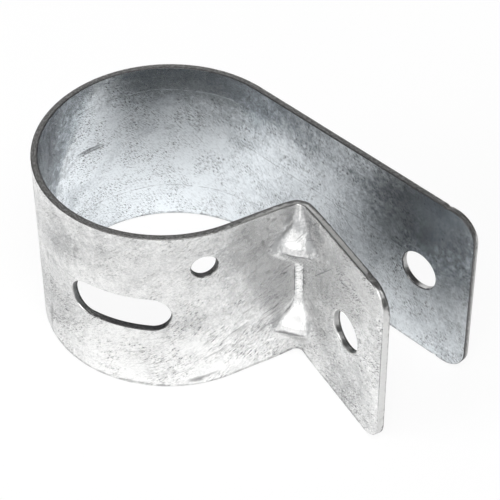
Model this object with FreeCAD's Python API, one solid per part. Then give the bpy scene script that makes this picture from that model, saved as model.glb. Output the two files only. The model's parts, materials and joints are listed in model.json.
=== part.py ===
"""Tube clamp for a sign post, made from one strip of sheet steel.

The strip is punched flat and bent into most of a ring, with a straight leg at one end and a flange
at the other, both with a bolt hole. Two darts pressed into the corner of the flange stiffen its bend.
The clamp has the shape in which it is supplied, sprung open: the flange stands at an angle to the leg
until the bolt pulls the ring shut on the post.

Millimetres. The ring's axis is Z, the strip stands on z = 0, and the leg runs towards +X.
"""

import FreeCAD, Part
import math
import os

from FreeCAD import Vector

# Strip
SHEET = 1.4
STRIP_WIDTH = 40.0
EDGE_ROUND = 0.2
END_CORNER_RADIUS = 5.5

# Ring, as supplied
BORE_RADIUS = 25.0
SPREAD_ANGLE = 16.25

# Leg, wall and flange
LEG_REACH = 57.8
WALL_RUN = 15.25
BEND_RADIUS = 2.0
FLANGE_LENGTH = 30.2

# Bolt holes, one in the leg and one in the flange
BOLT_HOLE_DIAMETER = 8.6
BOLT_HOLE_FROM_END = 12.9

# Slot for the sign's bolt, round the ring
SLOT_WIDTH = 8.2
SLOT_LENGTH = 21.3
SLOT_ANGLE = -65.7

# Small hole beside the slot
PIN_HOLE_DIAMETER = 5.2
PIN_HOLE_ANGLE = -27.8
PIN_HOLE_FROM_TOP = 8.2

# Stiffening darts in the corner of the bend
DART_COUNT = 2
DART_SPACING = 21.7
DART_LOWEST = 9.0
DART_LEG = 7.0
DART_HALF_LENGTH = 4.8
DART_INNER_RADIUS = 0.5
DART_ROOT_COVER = 0.1

# How far cutting tools run past the sheet
TOOL_MARGIN = 2.0

# Faces that meet at more than this angle have a sharp edge between them
SHARP_ANGLE = 45.0

UP = Vector(0, 0, 1)
OUTER_RADIUS = BORE_RADIUS + SHEET
MID_HEIGHT = STRIP_WIDTH / 2


def radial(angle):
    """Unit vector at that angle, in degrees, round the ring."""
    turn = math.radians(angle)
    return Vector(math.cos(turn), math.sin(turn), 0)


# The leg leaves the start of the ring as its tangent, and so does the wall at its end
LEG_DIRECTION = radial(0)
ACROSS_LEG = radial(90)
RING_END = 360 - SPREAD_ANGLE
WALL_DIRECTION = radial(90 - SPREAD_ANGLE)

# The flange leaves the wall squarely
FLANGE_DIRECTION = radial(-SPREAD_ANGLE)
BISECTOR = (FLANGE_DIRECTION - WALL_DIRECTION).normalize()
CORNER = FLANGE_DIRECTION * OUTER_RADIUS + WALL_DIRECTION * WALL_RUN
BEND_CENTRE = CORNER + BISECTOR * (BEND_RADIUS * math.sqrt(2))
FLANGE_END = CORNER + FLANGE_DIRECTION * FLANGE_LENGTH


def line(start, end):
    """A straight edge between two points."""
    return Part.LineSegment(start, end).toShape()


def arc(start, middle, end):
    """A round edge through three points."""
    return Part.Arc(start, middle, end).toShape()


def edge_at(solid, point):
    """The edge of the solid whose middle is nearest to the point."""
    return min(solid.Edges, key=lambda edge: edge.CenterOfMass.distanceToPoint(point))


def strip_side(ring_radius, bend_radius):
    """One broad side of the strip's section: its leg's end, its edges and its flange's end."""
    leg_end = LEG_DIRECTION * LEG_REACH + ACROSS_LEG * ring_radius
    ring = [radial(angle) * ring_radius for angle in (90, (90 + RING_END) / 2, RING_END)]
    bend = [
        BEND_CENTRE + direction * bend_radius
        for direction in (FLANGE_DIRECTION * -1, BISECTOR * -1, WALL_DIRECTION)
    ]
    flange_end = FLANGE_END + WALL_DIRECTION * (bend_radius - BEND_RADIUS)
    edges = [
        line(leg_end, ring[0]),
        arc(*ring),
        line(ring[-1], bend[0]),
        arc(*bend),
        line(bend[-1], flange_end),
    ]
    return leg_end, edges, flange_end


def strip_section():
    """The strip's section across the ring's axis."""
    outer_leg, outer_edges, outer_flange = strip_side(OUTER_RADIUS, BEND_RADIUS)
    inner_leg, inner_edges, inner_flange = strip_side(BORE_RADIUS, BEND_RADIUS + SHEET)
    edges = [
        *outer_edges,
        line(outer_flange, inner_flange),
        *reversed(inner_edges),
        line(inner_leg, outer_leg),
    ]
    return Part.Face(Part.Wire(edges))


def bent_strip():
    """The plain bent strip, with the corners of its two ends rounded and its sheared edges eased."""
    strip = strip_section().extrude(UP * STRIP_WIDTH)
    leg_corner = LEG_DIRECTION * LEG_REACH + ACROSS_LEG * (BORE_RADIUS + SHEET / 2)
    flange_corner = FLANGE_END + WALL_DIRECTION * (SHEET / 2)
    end_edges = [
        edge_at(strip, corner + UP * height)
        for corner in (leg_corner, flange_corner)
        for height in (0, STRIP_WIDTH)
    ]
    strip = strip.makeFillet(END_CORNER_RADIUS, end_edges)
    return strip.makeFillet(EDGE_ROUND, [edge for edge in strip.Edges if is_sharp(strip, edge)])


def is_sharp(solid, edge):
    """True where two faces meet at an angle, as the broad sides do with the sheared outline."""
    point = edge.valueAt((edge.FirstParameter + edge.LastParameter) / 2)
    first, second = (
        face.normalAt(*face.Surface.parameter(point)) for face in solid.ancestorsOfType(edge, Part.Face)
    )
    return first.getAngle(second) > math.radians(SHARP_ANGLE)


def round_punch(centre, direction, diameter):
    """A punch for a round hole, through the sheet at the centre and past both of its sides."""
    reach = SHEET + TOOL_MARGIN
    return Part.makeCylinder(diameter / 2, 2 * reach, centre - direction * reach, direction)


def bolt_hole_punches():
    """One punch through the leg and one through the flange, in line when the ring is shut."""
    in_leg = LEG_DIRECTION * (LEG_REACH - BOLT_HOLE_FROM_END) + ACROSS_LEG * OUTER_RADIUS
    in_flange = FLANGE_END - FLANGE_DIRECTION * BOLT_HOLE_FROM_END
    return [
        round_punch(in_leg + UP * MID_HEIGHT, ACROSS_LEG, BOLT_HOLE_DIAMETER),
        round_punch(in_flange + UP * MID_HEIGHT, WALL_DIRECTION, BOLT_HOLE_DIAMETER),
    ]


def slot_punch():
    """The slot's punch: a block bent round the ring, with a round end at each side."""
    half_turn = math.degrees((SLOT_LENGTH - SLOT_WIDTH) / 2 / OUTER_RADIUS)
    inner = radial(SLOT_ANGLE - half_turn) * (BORE_RADIUS - TOOL_MARGIN)
    outer = radial(SLOT_ANGLE - half_turn) * (OUTER_RADIUS + TOOL_MARGIN)
    low = UP * (MID_HEIGHT - SLOT_WIDTH / 2)
    high = UP * (MID_HEIGHT + SLOT_WIDTH / 2)
    block = Part.Face(Part.makePolygon([inner + low, outer + low, outer + high, inner + high, inner + low]))
    punch = block.revolve(Vector(), UP, 2 * half_turn)
    for side in (-1, 1):
        outward = radial(SLOT_ANGLE + side * half_turn)
        end = outward * OUTER_RADIUS + UP * MID_HEIGHT
        punch = punch.fuse(round_punch(end, outward, SLOT_WIDTH))
    return punch


def pin_hole_punch():
    """The punch for the small round hole in the ring."""
    outward = radial(PIN_HOLE_ANGLE)
    centre = outward * OUTER_RADIUS + UP * (STRIP_WIDTH - PIN_HOLE_FROM_TOP)
    return round_punch(centre, outward, PIN_HOLE_DIAMETER)


def dart_wedge(height, crest_reach, setback, crest_radius):
    """A wedge across the corner of the bend, with its crest at that height and rounded.

    Its crest bridges the corner at crest_reach from it, and its two sloping facets run up and down to
    a point. setback moves the back of the wedge into or through the sheet.
    """
    slope = DART_HALF_LENGTH / (DART_LEG / math.sqrt(2))
    back = CORNER - (FLANGE_DIRECTION - WALL_DIRECTION) * setback + UP * height
    back_reach = crest_reach + setback * math.sqrt(2)
    half_length = UP * (back_reach * slope)
    leg = back_reach * math.sqrt(2)
    on_wall = back - WALL_DIRECTION * leg
    on_flange = back + FLANGE_DIRECTION * leg
    top = back + half_length
    bottom = back - half_length
    corners = [
        (top, on_wall, on_flange),
        (bottom, on_flange, on_wall),
        (top, bottom, on_wall),
        (top, on_flange, bottom),
    ]
    faces = [Part.Face(Part.makePolygon([a, b, c, a])) for a, b, c in corners]
    wedge = Part.Solid(Part.Shell(faces))
    crest_middle = (on_wall + on_flange) * 0.5
    return wedge.makeFillet(crest_radius, [edge_at(wedge, crest_middle)])


def press_darts(strip):
    """Darts pushed into the corner from behind: a wedge stands in the corner, a hollow is left behind."""
    bend_back = BEND_RADIUS + SHEET - BEND_RADIUS * math.sqrt(2)
    root = bend_back / math.sqrt(2) - DART_ROOT_COVER
    reach = DART_LEG / math.sqrt(2)
    facet_tilt = math.atan2(DART_HALF_LENGTH, reach)
    hollow_reach = reach - SHEET / math.sin(facet_tilt)
    for number in range(DART_COUNT):
        height = DART_LOWEST + number * DART_SPACING
        strip = strip.fuse(dart_wedge(height, reach, root, DART_INNER_RADIUS + SHEET))
        strip = strip.cut(dart_wedge(height, hollow_reach, SHEET + TOOL_MARGIN, DART_INNER_RADIUS))
    return strip


def clamp_strap():
    """The whole clamp: the strip bent, its darts pressed and its holes punched."""
    strap = press_darts(bent_strip())
    for punch in [*bolt_hole_punches(), slot_punch(), pin_hole_punch()]:
        strap = strap.cut(punch)
    return strap.removeSplitter().Solids[0]


os.makedirs("parts", exist_ok=True)
clamp_strap().exportStep("parts/clamp_strap.step")
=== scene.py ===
"""Tube clamp for a sign post: a punched and bent strip in its zinc finish, on a plain studio floor.

The strip is made as it is in the shop. A flat blank with its punched holes is laid out first. A tree of
geometry nodes then folds the flange, presses the darts into the bend and rolls the ring.

Metres, but the finish is laid out in millimetres on the flat strip. The ring's axis is Z, the strip
stands on z = 0, and the leg runs towards +X.
"""

import json
import math
from typing import NamedTuple

import bpy
import numpy as np
from mathutils import Matrix, Vector
from mathutils.geometry import delaunay_2d_cdt


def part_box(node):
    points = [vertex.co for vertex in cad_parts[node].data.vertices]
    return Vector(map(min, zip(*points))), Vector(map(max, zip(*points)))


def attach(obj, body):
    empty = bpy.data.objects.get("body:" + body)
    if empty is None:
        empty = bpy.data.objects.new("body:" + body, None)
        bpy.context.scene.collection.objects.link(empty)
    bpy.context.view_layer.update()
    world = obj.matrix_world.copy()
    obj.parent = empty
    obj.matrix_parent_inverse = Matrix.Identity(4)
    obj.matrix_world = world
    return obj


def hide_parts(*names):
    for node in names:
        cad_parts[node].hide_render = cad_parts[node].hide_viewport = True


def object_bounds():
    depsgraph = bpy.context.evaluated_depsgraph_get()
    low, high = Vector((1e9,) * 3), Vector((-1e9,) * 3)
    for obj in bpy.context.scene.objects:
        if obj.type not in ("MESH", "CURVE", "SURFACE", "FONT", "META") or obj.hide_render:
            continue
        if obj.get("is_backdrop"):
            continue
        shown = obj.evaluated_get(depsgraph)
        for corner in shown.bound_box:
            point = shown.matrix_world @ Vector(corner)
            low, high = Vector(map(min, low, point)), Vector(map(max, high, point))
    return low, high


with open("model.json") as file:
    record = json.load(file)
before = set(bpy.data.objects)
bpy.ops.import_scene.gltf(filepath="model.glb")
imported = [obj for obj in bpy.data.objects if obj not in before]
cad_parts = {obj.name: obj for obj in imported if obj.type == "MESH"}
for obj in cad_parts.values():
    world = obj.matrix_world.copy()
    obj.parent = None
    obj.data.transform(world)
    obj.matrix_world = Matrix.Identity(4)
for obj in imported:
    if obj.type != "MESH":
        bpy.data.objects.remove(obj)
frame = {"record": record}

bl_info = {
    "name": "Tube clamp",
    "version": (1, 0, 0),
    "blender": (4, 5, 0),
    "location": "3D View > Sidebar > Tube Clamp",
    "description": "Bends a punched strip into a galvanised tube clamp and sets it on a studio floor",
    "category": "Object",
}

CAD_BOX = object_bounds()
MM = 0.001
QUARTER_TURN = math.pi / 2
EIGHTH_TURN = QUARTER_TURN / 2

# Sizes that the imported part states
MOUNTS = {mount["name"]: mount for mount in frame["record"]["mounts"]}
STRAP_LOW, STRAP_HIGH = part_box("clamp_strap")


def mount_place(name):
    """The mount's place in the part's frame."""
    return Vector(MOUNTS[name]["pos_m"])


def mount_size(name, dimension):
    """One of the mount's sizes, in metres."""
    return MOUNTS[name]["dims"][dimension] * MM


def mount_angle(name):
    """The mount's angle round the ring, from +X."""
    place = mount_place(name)
    return math.atan2(place.y, place.x) % math.tau


SHEET = mount_size("leg_bolt_hole", "length_mm")
BORE_RADIUS = mount_size("tube_seat", "r_mm")
OUTER_RADIUS = BORE_RADIUS + SHEET
WALL_HEADING = -Vector(MOUNTS["flange_bolt_hole"]["axis"])
FLANGE_HEADING = Vector((WALL_HEADING.y, -WALL_HEADING.x, 0))
LEG_HOLE = mount_place("leg_bolt_hole")
FLANGE_HOLE = mount_place("flange_bolt_hole")
FLANGE_HOLE_FROM_CORNER = FLANGE_HOLE.dot(FLANGE_HEADING) - OUTER_RADIUS
BOLT_HOLE_FROM_END = 12.9 * MM

# Mesh of the flat blank
OUTLINE_PITCH = 0.4 * MM
HOLE_PITCH = 0.3 * MM
FACE_PITCH = 0.8 * MM
BEND_PITCH = 0.36 * MM
BEND_ZONE = 9.0 * MM
EDGE_BAND = 0.7 * MM
FACE_DEPTH = EDGE_BAND * 0.99
ROLL_STEPS = 4
BURR_STEPS = 3
WALL_STEPS = 4
EDGE_SUPPORT = 0.06 * MM
MERGE_DISTANCE = 1e-8

# Waves round the sheared outline, and the seed of their phases
EDGE_WAVES = (23, 41, 67, 113)
EDGE_SEED = 7

# Unevenness of the rolled sheet
UNEVEN_SCALE = 55.0
UNEVEN_DETAIL = 1.0
UNEVEN_SEED = 3.0

# Share of sheared face from which a face counts as cut, towards the outer and the inner side
CUT_FROM_OUTSIDE = 0.5
CUT_FROM_INSIDE = 0.05

# Names of the attributes that the finish reads
FLAT_PLACE = "flat_place"
SHEARED = "sheared"

# Layout of the nodes in their trees
NODE_ROWS = 6
NODE_STEP = 180


class Layer(NamedTuple):
    """A noise on the flat strip: its scale per millimetre, grain, the band that shows and its amount."""

    scale: float | tuple = 1.0
    detail: float = 2.0
    roughness: float = 0.5
    distortion: float = 0.0
    low: float = 0.0
    high: float = 1.0
    amount: float = 1.0


# Zinc coat
CLOUDS = Layer(detail=3.0, distortion=0.5, low=0.36, high=0.66, amount=0.28)
MOTTLE = Layer(scale=0.42, detail=6.0, roughness=0.62, distortion=0.4, low=0.32, high=0.70, amount=0.30)
FROST = Layer(scale=2.3, detail=4.0, roughness=0.7, low=0.30, high=0.72, amount=0.46)
GRIT = Layer(scale=(1.2, 4.0, 4.8), detail=4.0, roughness=0.75, low=0.50, high=0.64)
GRIT_CLUSTERS = Layer(scale=0.16, detail=5.0, roughness=0.65, low=0.40, high=0.62)
LOOSE_GRIT = 0.18
DULL_ROUGHNESS = 0.12
GRIT_ROUGHNESS = 0.20
FROST_RELIEF = 0.35
COAT_RELIEF = 0.003 * MM

# Scuffs, lines and soft marks on the coat
SCUFF_LINES = Layer(detail=3.0, roughness=0.65, low=0.55, high=0.68)
SCUFF_PATCHES = Layer(scale=0.09, detail=3.0, low=0.62, high=0.70)
LINE_WAVER = Layer(scale=0.05, detail=3.0)
LINE_BREAKS = Layer(scale=0.35, detail=4.0, roughness=0.7, low=0.38, high=0.56)
RAGGED_EDGE = Layer(scale=0.9, detail=4.0, roughness=0.6, amount=1.1)
SHEET_MIDDLE = (BORE_RADIUS + SHEET / 2) / MM

# Shares of a soft mark's reach within which it is full, and past which it is gone
MARK_CORE = 0.35
MARK_EDGE = 1.15

# Sheared edge, with levels from -1 at the inner face to 1 at the outer
TEAR_LINE = Layer(scale=(0.9, 0.0, 0.9), detail=5.0, roughness=0.7, amount=1.4)
STREAKS = Layer(scale=(5.0, 0.5, 5.0), detail=4.0, roughness=0.7, low=0.35, high=0.75, amount=0.35)
TORN_GRAIN = Layer(scale=(1.3, 3.2, 1.3), detail=5.0, roughness=0.75, low=0.42, high=0.62, amount=0.50)
BURNISH_FROM = -0.12
BURNISH_FULL = 0.18
# Painted shade along the burr: the torn steel darkens towards the inner face
BURR_FROM = -0.35
BURR_FULL = -0.85
BURR_SHADE = 0.65
TORN_ROUGHNESS = 0.52
BURNISHED_ROUGHNESS = 0.28
EDGE_RELIEF = 0.02 * MM

# Camera
CAMERA_PLACE = Vector((228.16, -203.94, 300.81)) * MM
CAMERA_TARGET = Vector((6.860, 16.083, 6.274)) * MM
CAMERA_ROLL = 0.0069
CAMERA_LENS = 148.3
CAMERA_CLIP_START = 0.01


class Lamp(NamedTuple):
    """A round soft lamp: its angles round the object and above the floor, in degrees.

    A lamp that isn't mirrored lights the floor and doesn't glare in the metal.
    """

    name: str
    heading: float
    height: float
    mirrored: bool = True


# Lamps and floor
LAMPS = (Lamp("window", -118, 14, mirrored=False), Lamp("key", -35, 60), Lamp("back", 142, 28))
LAMP_TARGET = Vector((0, 0, 20)) * MM
LAMP_DISTANCE = 1.6
LAMP_SIZE = 1.16
FLOOR_HALF = 3.0
WHITE = (1, 1, 1, 1)

# Heading of the room's bright front, and the cosines to it where its light starts and is full
ROOM_FRONT = math.radians(-82)
ROOM_LIGHT_FROM = 0.60
ROOM_LIGHT_FULL = 0.96


def length(label, description, default):
    """A property that holds a length in metres."""
    return bpy.props.FloatProperty(
        name=label, description=description, default=default, min=0, precision=5, unit="LENGTH"
    )


def angle(label, description, default):
    """A property that holds an angle in radians."""
    return bpy.props.FloatProperty(name=label, description=description, default=default, unit="ROTATION")


def share(label, description, default):
    """A property that holds a share from none to all."""
    return bpy.props.FloatProperty(
        name=label, description=description, default=default, min=0, max=1, subtype="FACTOR"
    )


def colour(label, description, default):
    """A property that holds a linear colour."""
    return bpy.props.FloatVectorProperty(
        name=label, description=description, default=default, min=0, max=1, size=3, subtype="COLOR"
    )


def strength(label, description, default):
    """A property that holds a level of light."""
    return bpy.props.FloatProperty(name=label, description=description, default=default, min=0)


class StrapSizes(bpy.types.PropertyGroup):
    """Sizes of the bent strip."""

    strip_width: length("Strip width", "Height of the standing strip", STRAP_HIGH.z - STRAP_LOW.z)
    sheet: length("Sheet", "Thickness of the zinc-coated sheet", SHEET)
    bore_radius: length("Bore radius", "Inside radius of the ring", BORE_RADIUS)
    spread: angle("Spread", "How far the flange stands open", math.atan2(WALL_HEADING.x, WALL_HEADING.y))
    leg_reach: length(
        "Leg reach",
        "From the ring's axis to the leg's end",
        LEG_HOLE.x + BOLT_HOLE_FROM_END,
    )
    wall_run: length(
        "Wall run",
        "From the ring's tangent point to the corner",
        FLANGE_HOLE.dot(WALL_HEADING) - SHEET / 2,
    )
    bend_flat: length("Bend flat", "Width of the flat that the punch leaves in the bend", 1.4 * MM)
    bend_radius: length("Bend radius", "Inside radius at both sides of that flat", 0.40 * MM)
    coin_length: length("Coined length", "Half the length of that flat", 7.0 * MM)
    coin_fade: length("Coined fade", "How far the flat takes to fade into a round bend", 6.0 * MM)
    flange_length: length(
        "Flange length",
        "From the corner to the flange's end",
        FLANGE_HOLE_FROM_CORNER + BOLT_HOLE_FROM_END,
    )
    end_corner: length("End corners", "Radius of the corners of both ends", 5.5 * MM)
    bolt_hole_from_end: length("Bolt hole from end", "From an end to its bolt hole", BOLT_HOLE_FROM_END)
    bolt_hole_radius: length(
        "Bolt hole radius",
        "Of both bolt holes",
        mount_size("leg_bolt_hole", "r_mm"),
    )
    slot_angle: angle("Slot angle", "Middle of the slot, round the ring", mount_angle("sign_bolt_slot"))
    slot_length: length(
        "Slot length",
        "On the ring's outside",
        mount_size("sign_bolt_slot", "slot_length_mm"),
    )
    slot_radius: length(
        "Slot end radius",
        "Half the slot's width",
        mount_size("sign_bolt_slot", "hole_r_mm"),
    )
    pin_hole_angle: angle("Small hole angle", "Round the ring", mount_angle("pin_hole"))
    pin_hole_height: length("Small hole height", "Above the lower edge", mount_place("pin_hole").z)
    pin_hole_radius: length("Small hole radius", "Beside the slot", mount_size("pin_hole", "r_mm"))
    dart_count: bpy.props.IntProperty(name="Darts", description="Darts in the bend", default=2, min=0)
    dart_lowest: length("Lowest dart", "Crest of the lowest dart above the lower edge", 9.0 * MM)
    dart_spacing: length("Dart spacing", "From one crest to the next", 21.7 * MM)
    dart_leg: length("Dart leg", "From the corner to the crest's ends", 7.0 * MM)
    dart_half_length: length("Dart half length", "From a dart's crest to its points", 4.8 * MM)
    dart_nose: length("Dart nose", "Radius of a dart's crest, seen from above", 14.0 * MM)
    dart_crest: length("Dart crest", "How far a dart's crest is rounded", 1.4 * MM)
    dart_softness: length("Dart softness", "How far a dart's foot blends into the bend", 2.8 * MM)
    edge_roll: length("Edge roll", "Rounding of the sheared edges on the outer face", 0.26 * MM)
    edge_burr: length("Edge burr", "Rounding of the sheared edges on the inner face", 0.12 * MM)
    edge_waver: length("Edge waver", "How far the sheared edges stray from true", 0.03 * MM)
    nick_depth: length("Nick depth", "Of the nicks where the corner tool met the shears", 0.3 * MM)
    nick_width: length("Nick width", "Of the nicks where the corner tool met the shears", 0.45 * MM)
    leg_nick: length("Leg nick", "From the leg's end to its nicks", 7.4 * MM)
    flange_nick: length("Flange nick", "From the flange's end to its nicks", 6.2 * MM)
    draw_in: length("Draw in", "How far the bend draws the edges in", 0.35 * MM)
    unevenness: length("Unevenness", "How far the rolled sheet strays from true", 0.04 * MM)

    @property
    def neutral_radius(self):
        """Radius of the ring in the sheet's middle layer."""
        return self.bore_radius + self.sheet / 2

    @property
    def ring_turn(self):
        """How far the ring goes round, from the leg to the wall."""
        return 3 * QUARTER_TURN - self.spread

    @property
    def corner_line(self):
        """Where wall and flange would meet, along the flat strip from the leg's tangent point."""
        return self.neutral_radius * self.ring_turn + self.wall_run + self.sheet / 2

    @property
    def neutral_bend(self):
        """Radius at both sides of the bend's flat, in the sheet's middle layer."""
        return self.bend_radius + self.sheet / 2

    @property
    def bend_setback(self):
        """From the corner back to the bend's start, with an eighth of a turn at each side of its flat."""
        tangent = self.neutral_bend * math.tan(EIGHTH_TURN / 2)
        return (self.bend_flat + 2 * tangent) / math.sqrt(2) + tangent

    @property
    def bend_run(self):
        """Length of strip that the coined bend takes up."""
        return self.neutral_bend * QUARTER_TURN + self.bend_flat

    @property
    def round_bend(self):
        """Radius of a round bend in the sheet's middle layer that saves as much strip as the coined one."""
        saved = 2 * self.bend_setback - self.bend_run
        return saved / (2 - QUARTER_TURN)

    @property
    def bend_middle(self):
        """Middle of the bend, along the flat strip."""
        return self.corner_line - self.bend_setback + self.bend_run / 2

    @property
    def flange_end(self):
        """Where the flange ends, with room for the sheet's unevenness within its length."""
        straight = self.flange_length - self.unevenness + self.sheet / 2 - self.bend_setback
        return self.bend_middle + self.bend_run / 2 + straight

    @property
    def dart_reach(self):
        """How far a dart's crest stands out from the corner of the sheet's middle layer."""
        face_reach = self.dart_leg / math.sqrt(2)
        tilt = math.atan2(self.dart_half_length, face_reach)
        half = self.sheet / 2
        return face_reach + half * math.sqrt(2) - half / math.sin(tilt)

    @property
    def dart_heights(self):
        """Heights of the darts' crests, from the lowest up."""
        return [self.dart_lowest + number * self.dart_spacing for number in range(self.dart_count)]

    def on_ring(self, turn):
        """Where that angle of the ring lies in the flat strip."""
        return -self.neutral_radius * (turn - QUARTER_TURN)


class ZincFinish(bpy.types.PropertyGroup):
    """Colours of the zinc coat and of the bare cut steel."""

    # The clean and clouded tones also carry painted light and shade, where the looks' marks make the coat
    # cleaner or duller.
    clean: colour("Clean zinc", "Where the coat outside is clean", (0.88, 0.88, 0.875))
    clouded: colour("Clouded zinc", "Where the coat outside is dull", (0.40, 0.405, 0.41))
    cool: colour("Cool zinc", "Where the coat inside is clean", (0.915, 0.95, 0.975))
    cool_clouded: colour("Cool clouded zinc", "Where the coat inside is dull", (0.37, 0.40, 0.425))
    grit: colour("Grit", "Specks and scuffs in the coat", (0.07, 0.07, 0.075))
    # The soot tone also paints shade: under the darts' crests, in the bend's grooves, along the lower
    # edges, on the burr, on the holes' floors and over dark places inside.
    soot_and_shade: colour("Soot", "Dirt and old scratches", (0.06, 0.06, 0.065))
    burnished: colour("Burnished steel", "Smooth half of a sheared edge", (0.58, 0.58, 0.575))
    torn: colour("Torn steel", "Rough half of a sheared edge", (0.17, 0.168, 0.165))
    roughness: share("Roughness", "Of the clean coat outside", 0.20)
    cool_roughness: share("Inside roughness", "Of the clean coat inside", 0.10)


class StudioStage(bpy.types.PropertyGroup):
    """Floor and light."""

    floor: colour("Floor", "Colour of the floor", (0.93, 0.93, 0.93))
    window: strength("Window light", "Power of the low lamp at the front left", 28.0)
    key: strength("Key light", "Power of the high lamp at the front", 21.0)
    back: strength("Back light", "Power of the low lamp behind", 4.5)
    front: strength("Front of the room", "Level of the room's light in front", 1.5)
    behind: strength("Back of the room", "Level of the room's light behind", 0.02)
    shadow: share("Shadow", "How much of the object's shadow the floor shows", 0.10)
    mirrored_shadow: share("Mirrored shadow", "How much of that shadow the metal reflects", 0.98)


class Outline:
    """A closed outline with rounded corners in the flat strip: the strip's own, or a hole's."""

    def __init__(self, centre, half_size, corner_radius, is_hole):
        self.centre = np.array(centre)
        self.half_size = np.array(half_size)
        self.corner_radius = corner_radius
        self.is_hole = is_hole

    def depth(self, points):
        """How far the points lie in the metal, below zero past the outline."""
        past_corner = np.abs(points - self.centre) - (self.half_size - self.corner_radius)
        outside = np.linalg.norm(np.maximum(past_corner, 0), axis=1)
        inside = np.minimum(past_corner.max(axis=1), 0)
        distance = outside + inside - self.corner_radius
        return distance if self.is_hole else -distance

    def loop(self, pitch):
        """Points round the outline, anticlockwise, and the directions from them into the metal."""
        reach = self.half_size - self.corner_radius
        arc_steps = math.ceil(self.corner_radius * QUARTER_TURN / pitch)
        points = []
        outward = []
        for quarter, sides in enumerate([(1, 1), (-1, 1), (-1, -1), (1, -1)]):
            corner = self.centre + reach * sides
            for step in range(arc_steps):
                turn = (quarter + step / arc_steps) * QUARTER_TURN
                normal = np.array([math.cos(turn), math.sin(turn)])
                points.append(corner + normal * self.corner_radius)
                outward.append(normal)
            run = 2 * reach[quarter % 2]
            run_steps = round(run / pitch)
            turn = (quarter + 1) * QUARTER_TURN
            normal = np.array([math.cos(turn), math.sin(turn)])
            along = np.array([-normal[1], normal[0]])
            for step in range(run_steps):
                points.append(corner + normal * self.corner_radius + along * run * step / run_steps)
                outward.append(normal)
        outward = np.array(outward)
        return np.array(points), outward if self.is_hole else -outward


def blank_outlines(sizes):
    """The strip's outline and its five holes, in the flat."""
    middle = sizes.strip_width / 2
    strip_centre = ((sizes.leg_reach - sizes.flange_end) / 2, middle)
    strip_half = ((sizes.leg_reach + sizes.flange_end) / 2, middle)
    outer_radius = sizes.bore_radius + sizes.sheet
    slot_run = (sizes.slot_length / 2 - sizes.slot_radius) * sizes.neutral_radius / outer_radius
    bolt = (sizes.bolt_hole_radius, sizes.bolt_hole_radius)
    pin = (sizes.pin_hole_radius, sizes.pin_hole_radius)
    slot = (slot_run + sizes.slot_radius, sizes.slot_radius)
    return [
        Outline(strip_centre, strip_half, sizes.end_corner, False),
        Outline((sizes.leg_reach - sizes.bolt_hole_from_end, middle), bolt, bolt[0], True),
        Outline((sizes.bolt_hole_from_end - sizes.flange_end, middle), bolt, bolt[0], True),
        Outline((sizes.on_ring(sizes.slot_angle), middle), slot, sizes.slot_radius, True),
        Outline((sizes.on_ring(sizes.pin_hole_angle), sizes.pin_hole_height), pin, pin[0], True),
    ]


def metal_depth(outlines, points):
    """How far the points lie from the nearest outline, below zero outside the metal."""
    return np.min([outline.depth(points) for outline in outlines], axis=0)


def staggered_grid(low, high, pitch):
    """Points in rows, every other row moved by half a step."""
    across = np.arange(low[0], high[0], pitch)
    up = np.arange(low[1], high[1], pitch * math.sqrt(3) / 2)
    shift = np.where(np.arange(len(up)) % 2, pitch / 2, 0)
    x = across[None, :] + shift[:, None]
    z = np.repeat(up[:, None], len(across), axis=1)
    return np.column_stack([x.ravel(), z.ravel()])


def face_points(sizes, outlines):
    """Points over the strip's face, closer together round the bend and clear of the edges."""
    low = (-sizes.flange_end, 0)
    high = (sizes.leg_reach, sizes.strip_width)
    kept = []
    for pitch, in_bend in ((FACE_PITCH, False), (BEND_PITCH, True)):
        points = staggered_grid(low, high, pitch)
        near_bend = np.abs(points[:, 0] + sizes.bend_middle) < BEND_ZONE
        clear = metal_depth(outlines, points) > EDGE_BAND + pitch / 2
        kept.append(points[clear & (near_bend == in_bend)])
    return np.vstack(kept)


def edge_profile(sizes):
    """Section of a sheared edge: depth in the metal, height in the sheet and share of sheared face."""
    half = sizes.sheet / 2
    rows = [(EDGE_BAND, half, 0.0), (sizes.edge_roll + EDGE_SUPPORT, half, 0.0)]
    for step in range(ROLL_STEPS + 1):
        turn = QUARTER_TURN * (1 - step / ROLL_STEPS)
        depth = sizes.edge_roll * (1 - math.cos(turn))
        rows.append((depth, half - sizes.edge_roll * (1 - math.sin(turn)), math.cos(turn)))
    top = half - sizes.edge_roll
    bottom = sizes.edge_burr - half
    for step in range(1, WALL_STEPS):
        rows.append((0.0, top + (bottom - top) * step / WALL_STEPS, 1.0))
    for step in range(BURR_STEPS + 1):
        turn = QUARTER_TURN * step / BURR_STEPS
        depth = sizes.edge_burr * (1 - math.cos(turn))
        rows.append((depth, bottom - sizes.edge_burr * math.sin(turn), math.cos(turn)))
    rows += [(sizes.edge_burr + EDGE_SUPPORT, -half, 0.0), (EDGE_BAND, -half, 0.0)]
    return rows


def edge_setback(sizes, outline, points, draw):
    """How far the sheared edge lies behind its true line: a slow waver, and nicks at the end corners."""
    steps = np.arange(len(points)) / len(points) * math.tau
    setback = np.zeros(len(points))
    if outline.is_hole:
        return setback
    for waves in EDGE_WAVES:
        wave = np.sin(waves * steps + draw.uniform(0, math.tau))
        setback += sizes.edge_waver * (1 + wave / 2) / len(EDGE_WAVES)
    for end in (sizes.leg_reach - sizes.leg_nick, sizes.flange_nick - sizes.flange_end):
        for height in (0, sizes.strip_width):
            away = np.linalg.norm(points - (end, height), axis=1) / sizes.nick_width
            setback += sizes.nick_depth * np.exp(-(away**2))
    return setback


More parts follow.
